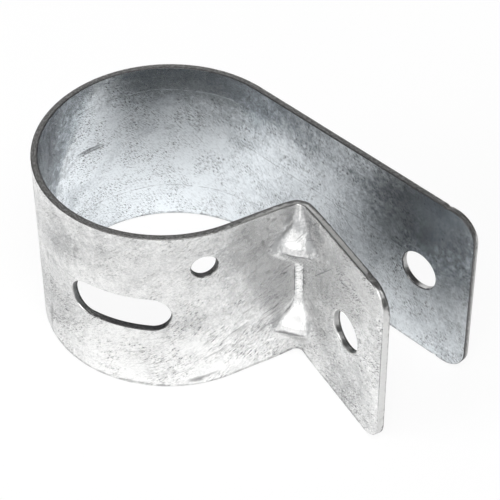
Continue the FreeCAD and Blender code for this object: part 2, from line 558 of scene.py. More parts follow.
def face_triangles(outlines, points, loop_starts):
    """Triangles between the points of a broad face, within the loops beside the sheared edges."""
    borders = []
    for start, end in zip(loop_starts[:-1], loop_starts[1:]):
        ring = list(range(start, end))
        borders += zip(ring, ring[1:] + ring[:1])
    vectors = [Vector(point) for point in points]
    placed, _, triangles, *_ = delaunay_2d_cdt(vectors, borders, [], 0, MERGE_DISTANCE, False)
    if len(placed) != len(points):
        raise RuntimeError("the blank's points fall on each other")
    triangles = np.array(triangles)
    middles = points[triangles].mean(axis=1)
    return triangles[metal_depth(outlines, middles) > FACE_DEPTH]


def flat_blank(sizes):
    """The punched strip as a closed mesh, flat in the plane of the leg."""
    draw = np.random.default_rng(EDGE_SEED)
    outlines = blank_outlines(sizes)
    loops = [outline.loop(HOLE_PITCH if outline.is_hole else OUTLINE_PITCH) for outline in outlines]
    band_points = [points + inward * EDGE_BAND for points, inward in loops]
    flat_points = np.vstack([*band_points, face_points(sizes, outlines)])
    loop_starts = np.cumsum([0] + [len(points) for points, _ in loops])
    triangles = face_triangles(outlines, flat_points, loop_starts)

    # Outer and inner face
    half = sizes.sheet / 2
    count = len(flat_points)
    corners = [np.insert(flat_points, 1, half, axis=1), np.insert(flat_points, 1, -half, axis=1)]
    sheared = [np.zeros(2 * count)]
    faces = triangles[:, ::-1].tolist() + (triangles + count).tolist()

    # Sheared edges from the one to the other, ring by ring
    first_free = 2 * count
    for outline, (points, inward), start in zip(outlines, loops, loop_starts):
        setback = edge_setback(sizes, outline, points, draw)
        ring = np.arange(len(points))
        rows = [start + ring]
        for depth, height, weight in edge_profile(sizes)[1:-1]:
            moved = depth + setback * (1 - depth / EDGE_BAND)
            corners.append(np.insert(points + inward * moved[:, None], 1, height, axis=1))
            sheared.append(np.full(len(points), weight))
            rows.append(first_free + ring)
            first_free += len(points)
        rows.append(count + start + ring)
        for upper, lower in zip(rows, rows[1:]):
            quads = np.column_stack([upper, np.roll(upper, -1), np.roll(lower, -1), lower])
            faces += (quads[:, ::-1] if outline.is_hole else quads).tolist()

    corners = np.vstack(corners)
    corners[:, 1] += sizes.neutral_radius
    mesh = bpy.data.meshes.new("flat_blank")
    mesh.from_pydata(corners.tolist(), [], faces)
    weight = mesh.attributes.new(SHEARED, "FLOAT", "POINT")
    weight.data.foreach_set("value", np.concatenate(sheared).astype(np.float32))
    return mesh


class NodeDesk:
    """A node tree being laid out: places nodes in columns and wires sockets or plain values to them."""

    def __init__(self, tree):
        self.tree = tree

    def add(self, kind, wires=None, **settings):
        """A new node with those settings, and its inputs wired."""
        node = self.tree.nodes.new(kind)
        column, row = divmod(len(self.tree.nodes) - 1, NODE_ROWS)
        node.location = (column * NODE_STEP, -row * NODE_STEP)
        for name, value in settings.items():
            setattr(node, name, value)
        for socket, value in (wires or {}).items():
            self.wire(node.inputs[socket], value)
        return node

    def wire(self, socket, value):
        """Links the input to another node's output, or sets it to a plain value."""
        if isinstance(value, bpy.types.NodeSocket):
            self.tree.links.new(value, socket)
        else:
            socket.default_value = value

    def math(self, operation, *values, **settings):
        """The result of a sum on numbers."""
        node = self.add("ShaderNodeMath", dict(enumerate(values)), operation=operation, **settings)
        return node.outputs[0]

    def clamped(self, operation, *values):
        """The result of a sum on numbers, kept between nought and one."""
        return self.math(operation, *values, use_clamp=True)

    def vector(self, operation, *values, result="Vector"):
        """The result of a sum on vectors."""
        node = self.add("ShaderNodeVectorMath", dict(enumerate(values)), operation=operation)
        return node.outputs[result]

    def split(self, vector):
        """The vector's X, Y and Z."""
        return self.add("ShaderNodeSeparateXYZ", {0: vector}).outputs

    def join(self, x=0.0, y=0.0, z=0.0):
        """A vector with that X, Y and Z."""
        return self.add("ShaderNodeCombineXYZ", {"X": x, "Y": y, "Z": z}).outputs[0]

    def turned(self, vector, turn, centre=(0, 0, 0), axis="Z_AXIS"):
        """The vector turned about a line through the centre, parallel to the axis."""
        wires = {"Vector": vector, "Center": centre, "Angle": turn}
        return self.add("ShaderNodeVectorRotate", wires, rotation_type=axis).outputs[0]

    def noise(self, place, layer):
        """The layer's noise at that place. A scale with three numbers stretches it."""
        scale = layer.scale
        if isinstance(scale, tuple):
            place = self.vector("MULTIPLY", place, scale)
            scale = 1.0
        grain = {"Detail": layer.detail, "Roughness": layer.roughness, "Distortion": layer.distortion}
        return self.add("ShaderNodeTexNoise", {"Vector": place, "Scale": scale, **grain}).outputs[0]

    def between(self, value, low, high):
        """Nought at low, one at high and smooth in between."""
        wires = {"Value": value, "From Min": low, "From Max": high}
        return self.add("ShaderNodeMapRange", wires, interpolation_type="SMOOTHSTEP").outputs[0]

    def shown(self, place, layer):
        """How much of the layer shows at that place, from nought to one."""
        return self.between(self.noise(place, layer), layer.low, layer.high)

    def mixed(self, amount, first, second):
        """The first colour with that amount of the second."""
        node = self.add("ShaderNodeMix", {"Factor": amount}, data_type="RGBA")
        self.wire(node.inputs["A"], first)
        self.wire(node.inputs["B"], second)
        return node.outputs["Result"]

    def group(self, tree, wires):
        """The outputs of a node group with those inputs."""
        kind = "ShaderNodeGroup" if tree.type == "SHADER" else "GeometryNodeGroup"
        node = self.add(kind, node_tree=tree)
        for socket, value in wires.items():
            self.wire(node.inputs[socket], value)
        return node.outputs


def node_group(name, kind, inputs, outputs):
    """A new node tree with those sockets: its desk, its inputs' sockets and its outputs' sockets."""
    tree = bpy.data.node_groups.new(name, kind)
    for direction, sockets in (("INPUT", inputs), ("OUTPUT", outputs)):
        for label, socket_kind in sockets.items():
            tree.interface.new_socket(label, in_out=direction, socket_type="NodeSocket" + socket_kind)
    desk = NodeDesk(tree)
    return desk, desk.add("NodeGroupInput").outputs, desk.add("NodeGroupOutput").inputs


def forming_tool(name, sizes):
    """A new node group that moves the sheet's middle layer and turns its normals."""
    sheet = {"Place": "Vector", "Normal": "Vector"}
    inputs = {**sheet, **{size: "Float" for size in sizes}}
    return node_group(name, "GeometryNodeTree", inputs, sheet)


def roll_sheet():
    """Node group for a bend: what lies past a line across the strip is wound round an axis beside it."""
    desk, given, result = forming_tool("Roll sheet", ("Line", "Axis", "Radius", "Turn"))
    past_line = desk.math("SUBTRACT", given["Line"], desk.split(given["Place"])["X"])
    unlimited = desk.math("DIVIDE", past_line, given["Radius"])
    limited = desk.math("MINIMUM", unlimited, desk.math("ABSOLUTE", given["Turn"]))
    wound = desk.math("MAXIMUM", limited, 0.0)
    turn = desk.math("MULTIPLY", wound, desk.math("SIGN", given["Turn"]))
    taken_up = desk.join(x=desk.math("MULTIPLY", wound, given["Radius"]))
    centre = desk.join(x=given["Line"], y=given["Axis"])
    desk.wire(result["Place"], desk.turned(desk.vector("ADD", given["Place"], taken_up), turn, centre))
    desk.wire(result["Normal"], desk.turned(given["Normal"], turn))
    return desk.tree


def press_dart():
    """Node group for a dart: the sheet in the corner is pushed out along the corner's bisector.

    A dart is a roof over the corner, with its crest at Height and sloping to a point above and below.
    The sheet becomes the higher of its old self and that roof, with a soft foot where they meet.
    """
    sizes = ("Corner X", "Corner Y", "Height", "Reach", "Half Length", "Nose", "Crest", "Softness")
    desk, given, result = forming_tool("Press dart", sizes)
    # Turned so that the bisector is Y and the crest runs along X
    corner = desk.join(x=given["Corner X"], y=given["Corner Y"])
    place = desk.split(desk.turned(desk.vector("SUBTRACT", given["Place"], corner), EIGHTH_TURN))
    normal = desk.split(desk.turned(given["Normal"], EIGHTH_TURN))

    # The roof's height over the corner, and its slope
    slope = desk.math("DIVIDE", given["Reach"], given["Half Length"])
    from_crest = desk.math("SUBTRACT", place["Z"], given["Height"])
    square = desk.math("MULTIPLY", from_crest, from_crest)
    rounded = desk.math("SQRT", desk.math("MULTIPLY_ADD", given["Crest"], given["Crest"], square))
    fall = desk.math("MULTIPLY", slope, desk.math("SUBTRACT", rounded, given["Crest"]))
    aside = desk.math("DIVIDE", place["X"], given["Nose"])
    rounded_off = desk.math("MULTIPLY", desk.math("MULTIPLY", aside, place["X"]), 0.5)
    roof = desk.math("SUBTRACT", desk.math("SUBTRACT", given["Reach"], fall), rounded_off)
    steepness = desk.math("DIVIDE", from_crest, rounded)
    roof_slope = desk.math("MULTIPLY", steepness, desk.math("MULTIPLY", slope, -1.0))

    # The sheet's new place, blended where roof and sheet meet
    above_roof = desk.math("DIVIDE", desk.math("SUBTRACT", place["Y"], roof), given["Softness"])
    kept = desk.clamped("MULTIPLY_ADD", above_roof, 0.5, 0.5)
    pressed = desk.math("SUBTRACT", 1.0, kept)
    blend = desk.math("MULTIPLY", given["Softness"], desk.math("MULTIPLY", kept, pressed))
    old_part = desk.math("MULTIPLY_ADD", kept, place["Y"], blend)
    out = desk.math("MULTIPLY_ADD", pressed, roof, old_part)
    new_place = desk.turned(desk.join(place["X"], out, place["Z"]), -EIGHTH_TURN)
    desk.wire(result["Place"], desk.vector("ADD", new_place, corner))

    # Its new normal, from the slopes of both
    old_lean = desk.math("MULTIPLY", kept, desk.math("DIVIDE", normal["X"], normal["Y"]))
    lean = desk.math("MULTIPLY_ADD", pressed, aside, old_lean)
    old_rise = desk.math("MULTIPLY", kept, desk.math("DIVIDE", normal["Z"], normal["Y"]))
    rise = desk.math("SUBTRACT", old_rise, desk.math("MULTIPLY", pressed, roof_slope))
    new_normal = desk.vector("NORMALIZE", desk.join(lean, 1.0, rise))
    desk.wire(result["Normal"], desk.turned(new_normal, -EIGHTH_TURN))
    return desk.tree


def bend_values(sizes):
    """The sizes that the bending tree takes, by the names of its inputs."""
    return {
        "Strip Width": sizes.strip_width,
        "Neutral Radius": sizes.neutral_radius,
        "Ring Turn": sizes.ring_turn,
        "Corner Line": sizes.corner_line,
        "Bend Setback": sizes.bend_setback,
        "Bend Radius": sizes.neutral_bend,
        "Bend Flat": sizes.bend_flat,
        "Round Bend": sizes.round_bend,
        "Coined Length": sizes.coin_length,
        "Coined Fade": sizes.coin_fade,
        "Dart Reach": sizes.dart_reach,
        "Dart Half Length": sizes.dart_half_length,
        "Dart Nose": sizes.dart_nose,
        "Dart Crest": sizes.dart_crest,
        "Dart Softness": sizes.dart_softness,
        "Draw In": sizes.draw_in,
        "Unevenness": sizes.unevenness,
        "Seed": UNEVEN_SEED,
    }


def coined_bend(desk, given, at):
    """The bend at each height of the strip: its radius, the starts of its two turns and half its run.

    It has a coined flat in the strip's middle and is round towards the edges. It starts before the
    corner and turns an eighth on each side of the flat.
    """
    half_width = desk.math("MULTIPLY", given["Strip Width"], 0.5)
    from_middle = desk.math("ABSOLUTE", desk.math("SUBTRACT", at["Z"], half_width))
    coin_end = desk.math("ADD", given["Coined Length"], given["Coined Fade"])
    roundness = desk.between(from_middle, given["Coined Length"], coin_end)
    coined = desk.math("SUBTRACT", 1.0, roundness)
    round_part = desk.math("MULTIPLY", given["Round Bend"], roundness)
    radius = desk.math("MULTIPLY_ADD", given["Bend Radius"], coined, round_part)
    setback = desk.math("MULTIPLY_ADD", given["Bend Setback"], coined, round_part)
    flat_run = desk.math("MULTIPLY", given["Bend Flat"], coined)

    first_line = desk.math("SUBTRACT", setback, given["Corner Line"])
    eighth_run = desk.math("MULTIPLY", radius, EIGHTH_TURN)
    second_line = desk.math("SUBTRACT", first_line, desk.math("ADD", eighth_run, flat_run))
    half_run = desk.math("MULTIPLY_ADD", flat_run, 0.5, eighth_run)
    return radius, first_line, second_line, half_run


def drawn_height(desk, given, at, first_line, half_run):
    """Height on the strip, where the bend draws its edges in towards its middle."""
    middle = desk.math("SUBTRACT", first_line, half_run)
    from_bend = desk.math("DIVIDE", desk.math("SUBTRACT", at["X"], middle), half_run)
    falling = desk.math("MULTIPLY", desk.math("MULTIPLY", from_bend, from_bend), -0.5)
    nearness = desk.math("POWER", math.e, falling)
    level = desk.math("SUBTRACT", desk.math("DIVIDE", at["Z"], given["Strip Width"]), 0.5)
    share_drawn = desk.math("MULTIPLY", desk.math("MULTIPLY", level, nearness), 2.0)
    return desk.math("SUBTRACT", at["Z"], desk.math("MULTIPLY", share_drawn, given["Draw In"]))


def formed(desk, tool, sheet, sizes):
    """The sheet after one forming tool."""
    return desk.group(tool, {"Place": sheet["Place"], "Normal": sheet["Normal"], **sizes})


def bent_sheet(desk, given, at, dart_heights):
    """Places and normals of the sheet's middle layer, with the flange folded, the darts and the ring."""
    radius, first_line, second_line, half_run = coined_bend(desk, given, at)
    drawn = drawn_height(desk, given, at, first_line, half_run)
    sheet = {"Place": desk.join(at["X"], given["Neutral Radius"], drawn), "Normal": desk.join(y=1.0)}

    roll = roll_sheet()
    axis = desk.math("ADD", given["Neutral Radius"], radius)
    fold = {"Axis": axis, "Radius": radius, "Turn": -EIGHTH_TURN}
    for line in (second_line, first_line):
        sheet = formed(desk, roll, sheet, {"Line": line, **fold})

    dart = press_dart()
    corner = desk.math("MULTIPLY", given["Corner Line"], -1.0)
    own_sizes = ("Reach", "Half Length", "Nose", "Crest", "Softness")
    shape = {name: given["Dart " + name] for name in own_sizes}
    shape.update({"Corner X": corner, "Corner Y": given["Neutral Radius"]})
    for height in dart_heights:
        sheet = formed(desk, dart, sheet, {"Height": height, **shape})

    return formed(desk, roll, sheet, {"Radius": given["Neutral Radius"], "Turn": given["Ring Turn"]})


def finished_sheet(desk, given, geometry, height_in_sheet):
    """The bent strip with its materials: coated outside and inside, bare where it is sheared."""
    inside = desk.math("LESS_THAN", height_in_sheet, 0.0)
    weight = desk.add("GeometryNodeInputNamedAttribute", {"Name": SHEARED}, data_type="FLOAT")
    least = desk.math("MULTIPLY_ADD", inside, CUT_FROM_INSIDE - CUT_FROM_OUTSIDE, CUT_FROM_OUTSIDE)
    cut = desk.math("GREATER_THAN", weight.outputs["Attribute"], least)
    for material, selection in (("Outside", True), ("Inside", inside), ("Sheared", cut)):
        wires = {"Geometry": geometry, "Selection": selection, "Material": given[material]}
        geometry = desk.add("GeometryNodeSetMaterial", wires).outputs[0]
    return geometry


def bend_strip(values, materials, dart_heights):
    """Node tree that turns the flat blank into the clamp: flange, darts, ring, then its materials."""
    geometry = {"Geometry": "Geometry"}
    sizes = {name: "Float" for name in values}
    finishes = {name: "Material" for name in materials}
    inputs = {**geometry, **sizes, **finishes}
    desk, given, result = node_group("Bend punched strip", "GeometryNodeTree", inputs, geometry)
    position = desk.add("GeometryNodeInputPosition").outputs[0]
    kept_flat = desk.add(
        "GeometryNodeStoreNamedAttribute",
        {"Geometry": given["Geometry"], "Name": FLAT_PLACE, "Value": position},
        data_type="FLOAT_VECTOR",
        domain="POINT",
    )
    named = desk.add("GeometryNodeInputNamedAttribute", {"Name": FLAT_PLACE}, data_type="FLOAT_VECTOR")
    flat = named.outputs["Attribute"]
    at = desk.split(flat)
    sheet = bent_sheet(desk, given, at, dart_heights)

    # Both faces follow the middle layer, at their own heights in the sheet
    height_in_sheet = desk.math("SUBTRACT", at["Y"], given["Neutral Radius"])
    noise = desk.add(
        "ShaderNodeTexNoise",
        {"Vector": flat, "W": given["Seed"], "Scale": UNEVEN_SCALE, "Detail": UNEVEN_DETAIL},
        noise_dimensions="4D",
    )
    stray = desk.math("MULTIPLY", desk.math("SUBTRACT", noise.outputs[0], 1.0), given["Unevenness"])
    lifted = desk.vector("SCALE", sheet["Normal"])
    desk.wire(lifted.node.inputs["Scale"], desk.math("ADD", height_in_sheet, stray))
    bent = desk.add(
        "GeometryNodeSetPosition",
        {"Geometry": kept_flat.outputs[0], "Position": desk.vector("ADD", sheet["Place"], lifted)},
    )
    realized = desk.add("GeometryNodeRealizeInstances", {0: bent.outputs[0]})
    finished = finished_sheet(desk, given, realized.outputs[0], height_in_sheet)
    desk.wire(result["Geometry"], finished)
    return desk.tree


def set_inputs(modifier, values):
    """Sets a geometry nodes modifier's inputs, each by its socket's identifier."""
    for item in modifier.node_group.interface.items_tree:
        if item.item_type == "SOCKET" and item.in_out == "INPUT" and item.name in values:
            modifier[item.identifier] = values[item.name]


def zinc_coat():
    """Node group for a hot-dip coat: clouds, frost and clusters of dark grit."""
    inputs = {
        "Place": "Vector",
        "Clean": "Color",
        "Clouded": "Color",
        "Grit": "Color",
        "Cloud Scale": "Float",
        "Dullness": "Float",
        "Grit Amount": "Float",
        "Grit Turn": "Float",
        "Roughness": "Float",
    }
    outputs = {"Color": "Color", "Roughness": "Float", "Height": "Float"}
    desk, given, result = node_group("Zinc coat", "ShaderNodeTree", inputs, outputs)
    place = given["Place"]
    cloudy = desk.shown(place, CLOUDS._replace(scale=given["Cloud Scale"]))
    mottled = desk.shown(place, MOTTLE)
    frosty = desk.shown(place, FROST)
    dull = desk.math("MULTIPLY_ADD", cloudy, CLOUDS.amount, given["Dullness"])
    dull = desk.math("MULTIPLY_ADD", mottled, MOTTLE.amount, dull)
    dull = desk.clamped("MULTIPLY_ADD", frosty, FROST.amount, dull)

    along_grit = desk.turned(place, given["Grit Turn"], axis="Y_AXIS")
    thick = desk.math("ADD", desk.shown(place, GRIT_CLUSTERS), LOOSE_GRIT)
    speck = desk.math("MULTIPLY", desk.shown(along_grit, GRIT), thick)
    speck = desk.clamped("MULTIPLY", speck, given["Grit Amount"])

    coat = desk.mixed(dull, given["Clean"], given["Clouded"])
    desk.wire(result["Color"], desk.mixed(speck, coat, given["Grit"]))
    worn = desk.math("MULTIPLY_ADD", dull, DULL_ROUGHNESS, given["Roughness"])
    desk.wire(result["Roughness"], desk.math("MULTIPLY_ADD", speck, GRIT_ROUGHNESS, worn))
    relief = desk.math("MULTIPLY_ADD", frosty, FROST_RELIEF, mottled)
    desk.wire(result["Height"], desk.math("SUBTRACT", relief, speck))
    return desk.tree


def mask_group(name, sizes):
    """A new node group that puts out a mask over the strip, from a place on it and those sizes."""
    return node_group(name, "ShaderNodeTree", {"Place": "Vector", **sizes}, {"Mask": "Float"})


def scuffs():
    """Node group for fine scuffs that all run one way, in patches."""
    sizes = {name: "Float" for name in ("Turn", "Length", "Width", "Spread")}
    desk, given, result = mask_group("Scuffs", sizes)
    turned = desk.turned(given["Place"], given["Turn"], axis="Y_AXIS")
    fine = desk.math("DIVIDE", 1.0, given["Width"])
    stretch = desk.join(desk.math("DIVIDE", 1.0, given["Length"]), fine, fine)
    lines = desk.shown(desk.vector("MULTIPLY", turned, stretch), SCUFF_LINES)
    least = desk.math("SUBTRACT", SCUFF_PATCHES.low, given["Spread"])
    patches = desk.shown(given["Place"], SCUFF_PATCHES._replace(low=least))
    desk.wire(result["Mask"], desk.math("MULTIPLY", lines, patches))
    return desk.tree


def rub_mark():
    """Node group for one soft mark at a place on the strip, longer one way, with a ragged edge."""
    sizes = {"Ragged": "Float", "Centre": "Vector", "Turn": "Float", "Reach": "Vector"}
    desk, given, result = mask_group("Rub mark", sizes)
    from_centre = desk.vector("SUBTRACT", given["Place"], given["Centre"])
    turned = desk.turned(from_centre, given["Turn"], axis="Y_AXIS")
    away = desk.vector("LENGTH", desk.vector("DIVIDE", turned, given["Reach"]), result="Value")
    centred = desk.math("SUBTRACT", away, RAGGED_EDGE.amount / 2)
    edge = desk.math("MULTIPLY_ADD", given["Ragged"], RAGGED_EDGE.amount, centred)
    desk.wire(result["Mask"], desk.between(edge, MARK_EDGE, MARK_CORE))
    return desk.tree


def long_line():
    """Node group for one thin line along the strip: the lines that a roller or a die leaves, and the
    painted shadows along the lower edges.
    """
    sizes = {name: "Float" for name in ("Level", "Width", "From", "To", "Waver")}
    desk, given, result = mask_group("Long line", sizes)
    at = desk.split(given["Place"])
    along = desk.join(x=at["X"])
    waver = desk.math("SUBTRACT", desk.noise(along, LINE_WAVER), 0.5)
    level = desk.math("MULTIPLY_ADD", waver, given["Waver"], given["Level"])
    off = desk.math("ABSOLUTE", desk.math("SUBTRACT", at["Z"], level))
    thin = desk.between(off, given["Width"], 0.0)
    broken = desk.shown(along, LINE_BREAKS)
    started = desk.math("GREATER_THAN", at["X"], given["From"])
    unfinished = desk.math("LESS_THAN", at["X"], given["To"])
    shown = desk.math("MULTIPLY", started, unfinished)
    desk.wire(result["Mask"], desk.math("MULTIPLY", desk.math("MULTIPLY", thin, broken), shown))
    return desk.tree


class MarkBrush:
    """Lays masks on a material. The ragged edges of its soft marks share one noise."""

    def __init__(self, desk, groups, place):
        self.desk = desk
        self.groups = groups
        self.place = place
        self.ragged = desk.noise(place, RAGGED_EDGE)

    def mask(self, group, sizes):
        """The mask of one of the groups, with those sizes."""
        return self.desk.group(self.groups[group], {"Place": self.place, **sizes})["Mask"]

    def spots(self, marks):
        """The mask and the amount of each soft mark."""
        for sizes, amount in marks:
            yield self.mask("mark", {"Ragged": self.ragged, **sizes}), amount

    def on_value(self, value, marks):
        """The value with the amount of each soft mark added where it lies."""
        for mask, amount in self.spots(marks):
            value = self.desk.math("MULTIPLY_ADD", mask, amount, value)
        return value

    def on_tone(self, tone, mark_tone, mask, amount):
        """The tone with that amount of the mark's own tone where its mask lies."""
        return self.desk.mixed(self.desk.math("MULTIPLY", mask, amount), tone, (*mark_tone, 1))


def new_material(name, groups):
    """An empty material, its desk, the strip's flat place in millimetres and a brush for its marks."""
    material = bpy.data.materials.new(name)
    material.use_nodes = True
    material.node_tree.nodes.clear()
    desk = NodeDesk(material.node_tree)
    flat = desk.add("ShaderNodeAttribute", attribute_name=FLAT_PLACE).outputs["Vector"]
    place = desk.vector("MULTIPLY", flat, (1 / MM, 1 / MM, 1 / MM))
    return material, desk, place, MarkBrush(desk, groups, place)


def metal_surface(desk, tone, roughness, height, relief):
    """Bare metal with that colour, roughness and relief, the last in metres."""
    bump = desk.add("ShaderNodeBump", {"Height": height, "Strength": 1.0, "Distance": relief})
    shader = desk.add(
        "ShaderNodeBsdfPrincipled",
        {"Base Color": tone, "Roughness": roughness, "Normal": bump.outputs[0], "Metallic": 1.0},
    )
    desk.add("ShaderNodeOutputMaterial", {"Surface": shader.outputs[0]})


def coated_face(name, groups, look):
    """Zinc on a broad face of the strip, with its clouds, matt places, scuffs, grime and lines, and the
    painted light and shade that its look lays on.
    """
    material, desk, place, brush = new_material(name, groups)
    coat = desk.group(
        groups["coat"],
        {
            "Place": place,
            "Clean": (*look["clean"], 1),
            "Clouded": (*look["clouded"], 1),
            "Grit": (*look["grit"], 1),
            "Cloud Scale": look["cloud_scale"],
            # Its clouds' marks also paint light and shade: cleaner where a highlight is painted, duller
            # where shade is painted
            "Dullness": brush.on_value(look["dullness"], look["clouds"]),
            "Grit Amount": brush.on_value(look["grit_amount"], look["polished"]),
            "Grit Turn": look["grit_turn"],
            "Roughness": look["roughness"],
        },
    )
    tone = coat["Color"]
    height = coat["Height"]
    for sizes, amount in look["scuffs"]:
        mask = brush.mask("scuffs", sizes)
        tone = brush.on_tone(tone, look["grit"], mask, amount)
        height = desk.math("SUBTRACT", height, mask)
    # Grime and painted shade, in the soot tone
    for mask, amount in brush.spots(look["dirt_and_shade"]):
        tone = brush.on_tone(tone, look["soot_and_shade"], mask, amount)
    for sizes, line_tone, amount in look["lines"]:
        tone = brush.on_tone(tone, line_tone, brush.mask("line", sizes), amount)
    roughness = brush.on_value(coat["Roughness"], look["matt"])
    metal_surface(desk, tone, roughness, height, COAT_RELIEF)
    return material


def cut_edge(groups, finish, sizes):
    """Steel of a sheared edge: burnished towards the outer face, torn and dark towards the inner, with
    painted shade along the burr.
    """
    material, desk, place, brush = new_material("sheared_edge", groups)
    from_middle = desk.math("SUBTRACT", desk.split(place)["Y"], sizes.neutral_radius / MM)
    level = desk.math("DIVIDE", from_middle, sizes.sheet / MM / 2)
    ragged = desk.math("SUBTRACT", desk.noise(place, TEAR_LINE), 0.5)
    tear_line = brush.on_value(desk.math("MULTIPLY", ragged, TEAR_LINE.amount), tear_spots(sizes))
    burnish = desk.between(desk.math("SUBTRACT", level, tear_line), BURNISH_FROM, BURNISH_FULL)

    streaky = desk.math("MULTIPLY", desk.shown(place, STREAKS), STREAKS.amount)
    grainy = desk.math("MULTIPLY", desk.shown(place, TORN_GRAIN), TORN_GRAIN.amount)
    smooth_steel = desk.mixed(streaky, (*finish.burnished, 1), (*finish.torn, 1))
    rough_steel = desk.mixed(grainy, (*finish.torn, 1), (*finish.burnished, 1))
    # Painted shade along the burr, in the soot tone
    burr = desk.between(level, BURR_FROM, BURR_FULL)
    rough_steel = brush.on_tone(rough_steel, finish.soot_and_shade, burr, BURR_SHADE)
    tone = desk.mixed(burnish, rough_steel, smooth_steel)
    for mark_tone, marks in edge_marks(sizes, finish):
        for mask, amount in brush.spots(marks):
            tone = brush.on_tone(tone, mark_tone, mask, amount)
    smoothing = BURNISHED_ROUGHNESS - TORN_ROUGHNESS
    roughness = desk.math("MULTIPLY_ADD", burnish, smoothing, TORN_ROUGHNESS)
    metal_surface(desk, tone, roughness, desk.math("SUBTRACT", grainy, streaky), EDGE_RELIEF)
    return material


def spot(x, z, across, up, amount, turn=0.0):
    """A soft mark on the flat strip, in millimetres: its sizes and its amount."""
    reach = (across, max(across, up), up)
    return {"Centre": (x, SHEET_MIDDLE, z), "Turn": turn, "Reach": reach}, amount


def scuff(turn, run, width, spread, amount):
    """A patchy field of scuffs: the sizes of one scuff in millimetres, and the amount."""
    return {"Turn": turn, "Length": run, "Width": width, "Spread": spread}, amount


def thin_line(level, width, start, end, tone, amount, waver=2.0):
    """A thin line along the flat strip, in millimetres: its sizes, its tone and its amount."""
    return {"Level": level, "Width": width, "From": start, "To": end, "Waver": waver}, tone, amount


class FlatPlaces:
    """Places of the strip's features along and up the flat strip, in millimetres."""

    def __init__(self, sizes):
        self.top = sizes.strip_width / MM
        self.middle = self.top / 2
        self.slot = sizes.on_ring(sizes.slot_angle) / MM
        self.slot_floor = self.middle - sizes.slot_radius / MM
        self.pin_hole = sizes.on_ring(sizes.pin_hole_angle) / MM
        self.pin_height = sizes.pin_hole_height / MM
        self.pin_floor = self.pin_height - sizes.pin_hole_radius / MM
        self.leg_hole = (sizes.leg_reach - sizes.bolt_hole_from_end) / MM
        self.flange_hole = (sizes.bolt_hole_from_end - sizes.flange_end) / MM
        self.flange_end = -sizes.flange_end / MM
        self.flange_nick = (sizes.flange_nick - sizes.flange_end) / MM
        self.bend = -sizes.bend_middle / MM
        self.groove = (sizes.bend_flat + sizes.neutral_bend * EIGHTH_TURN) / 2 / MM
        self.low_dart = sizes.dart_lowest / MM
        self.high_dart = (sizes.dart_lowest + sizes.dart_spacing) / MM
        self.between_darts = (self.low_dart + self.high_dart) / 2


def tear_spots(sizes):
    """Where the torn part of the sheared edges is wider, or narrower if the amount is below zero."""
    at = FlatPlaces(sizes)
    return [
        spot(-62.0, at.top, 70.0, 8.0, 1.9),
        spot(-62.0, 0.0, 70.0, 8.0, 1.9),
        spot(24.0, at.top, 36.0, 12.0, 0.9),
        spot(at.slot - 4.0, at.middle - 4.5, 11.0, 4.0, 1.7),
        spot(at.slot + 12.0, at.middle + 2.0, 5.0, 8.0, -0.5),
        spot(at.pin_hole, at.pin_height, 5.0, 5.0, 1.3),
        spot(-119.0, at.top, 12.0, 5.0, -0.6),
        spot(-143.0, at.top, 14.0, 5.0, -0.7),
        spot(at.flange_end, at.middle, 9.0, 26.0, -0.7),
        spot(at.flange_nick, at.top, 1.2, 1.2, 1.8),
        spot(at.flange_hole, at.middle, 7.0, 7.0, -0.7),
        spot(at.leg_hole, at.middle, 7.0, 7.0, -0.9),
    ]


def edge_marks(sizes, finish):
    """Painted shade on the floors of the slot and the small hole, and zinc on the flange's end."""
    at = FlatPlaces(sizes)
    soot_and_shade = [
        spot(at.slot - 3.5, at.slot_floor, 10.0, 2.5, 0.75),
        spot(at.pin_hole, at.pin_floor, 2.5, 1.5, 0.45),
    ]
    zinc = [spot(at.flange_end, at.middle, 3.0, 20.0, 0.55)]
    return [(finish.soot_and_shade, soot_and_shade), (finish.clean, zinc)]


def groove_marks(at):
    """Painted shade, with some grime, in the two grooves of the coined bend, between the darts and at their
    points.
    """
    for side in (-1, 1):
        groove = at.bend + side * at.groove
        yield spot(groove, at.between_darts, 0.26, 6.5, 0.85)
        yield spot(groove, at.high_dart - 4.9, 0.9, 0.3, 0.70, side * 0.6)
        yield spot(groove, at.low_dart + 5.2, 0.8, 0.45, 0.70)


